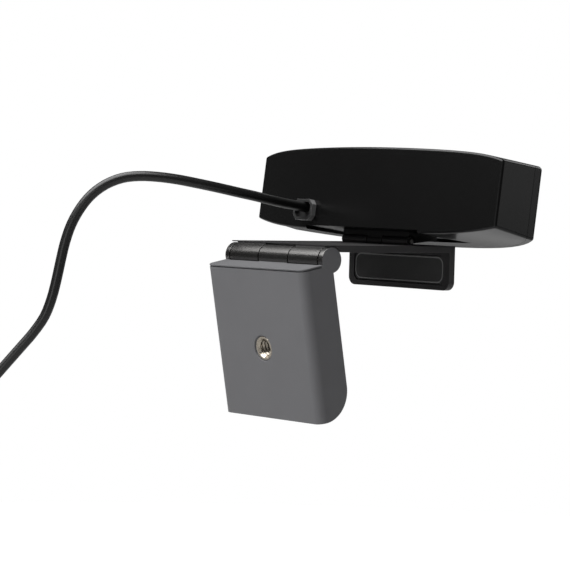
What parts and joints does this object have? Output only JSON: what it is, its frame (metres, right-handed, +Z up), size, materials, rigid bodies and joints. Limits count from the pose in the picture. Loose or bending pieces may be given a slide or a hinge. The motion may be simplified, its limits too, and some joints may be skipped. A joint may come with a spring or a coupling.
{
  "type": "webcam on folding tripod clip",
  "caption": "Bar webcam with a curved front on a tilting foot, on a monitor clip whose folding leg has a tripod thread, with a hanging USB cord.",
  "frame": {"origin": "middle of the clip plate's underside, where it rests on a monitor's top edge", "axes": "the lens looks along -Y, +X runs along the camera body, +Z is up"},
  "size_m": [0.1608, 0.1779, 0.2066],
  "materials": {
    "black_plastic": "fine matt texture, warm black",
    "bezel_plastic": "satin black",
    "window_black": "glossy smoked acrylic",
    "clip_plastic": "satin dark grey",
    "leg_plastic": "satin grey",
    "rubber_black": "soft matt rubber",
    "cord_rubber": "satin PVC jacket",
    "steel_dark": "brushed, dark",
    "steel_light": "zinc plated",
    "insert_nickel": "satin nickel",
    "board_green": "solder mask",
    "chip_black": "moulded package",
    "lens_black": "matt black",
    "lens_ring": "satin dark grey",
    "lens_glass": "coated lens",
    "led_lens": "milky",
    "connector_white": "off-white nylon"
  },
  "bodies": {
    "clip": {"clip_plate": "clip_plastic", "lip_pad": "rubber_black", "plate_pad": "rubber_black", "tilt_pin": "steel_dark", "friction_washers": "steel_dark"},
    "leg": {"leg_shell": "leg_plastic", "leg_cover": "leg_plastic", "leg_pad": "rubber_black", "leg_screws": "steel_light", "tripod_insert": "insert_nickel", "hinge_pin": "steel_light", "hinge_cap": "leg_plastic"},
    "camera": {"rear_housing": "black_plastic", "front_bezel": "bezel_plastic", "front_window": "window_black", "main_board": "board_green", "image_sensor": "chip_black", "lens_holder": "lens_black", "lens_barrel": "lens_black", "lens_glass": "lens_glass", "lens_ring": "lens_ring", "processor_chip": "chip_black", "microphones": "steel_light", "status_led": "led_lens", "light_pipe": "led_lens", "cord_connector": "connector_white", "inner_lead": "cord_rubber", "crimp_sleeve": "steel_light", "cord_gland": "rubber_black", "bezel_screws": "steel_light", "board_screws": "steel_light", "tilt_foot": "black_plastic", "foot_screws": "steel_light", "usb_cord": "cord_rubber", "cord_hank": "cord_rubber", "cord_tie": "rubber_black", "plug_body": "black_plastic", "plug_shell": "steel_light"}
  },
  "joints": [
    {"name": "leg_fold", "type": "hinge", "parent": "clip", "child": "leg", "pos_m": [0, 0.028, -0.0026], "axis": [1, 0, 0], "range_deg": [-78, 85]},
    {"name": "head_tilt", "type": "hinge", "parent": "clip", "child": "camera", "pos_m": [0, -0.0144, 0.0034], "axis": [-1, 0, 0], "range_deg": [-5, 25]}
  ]
}
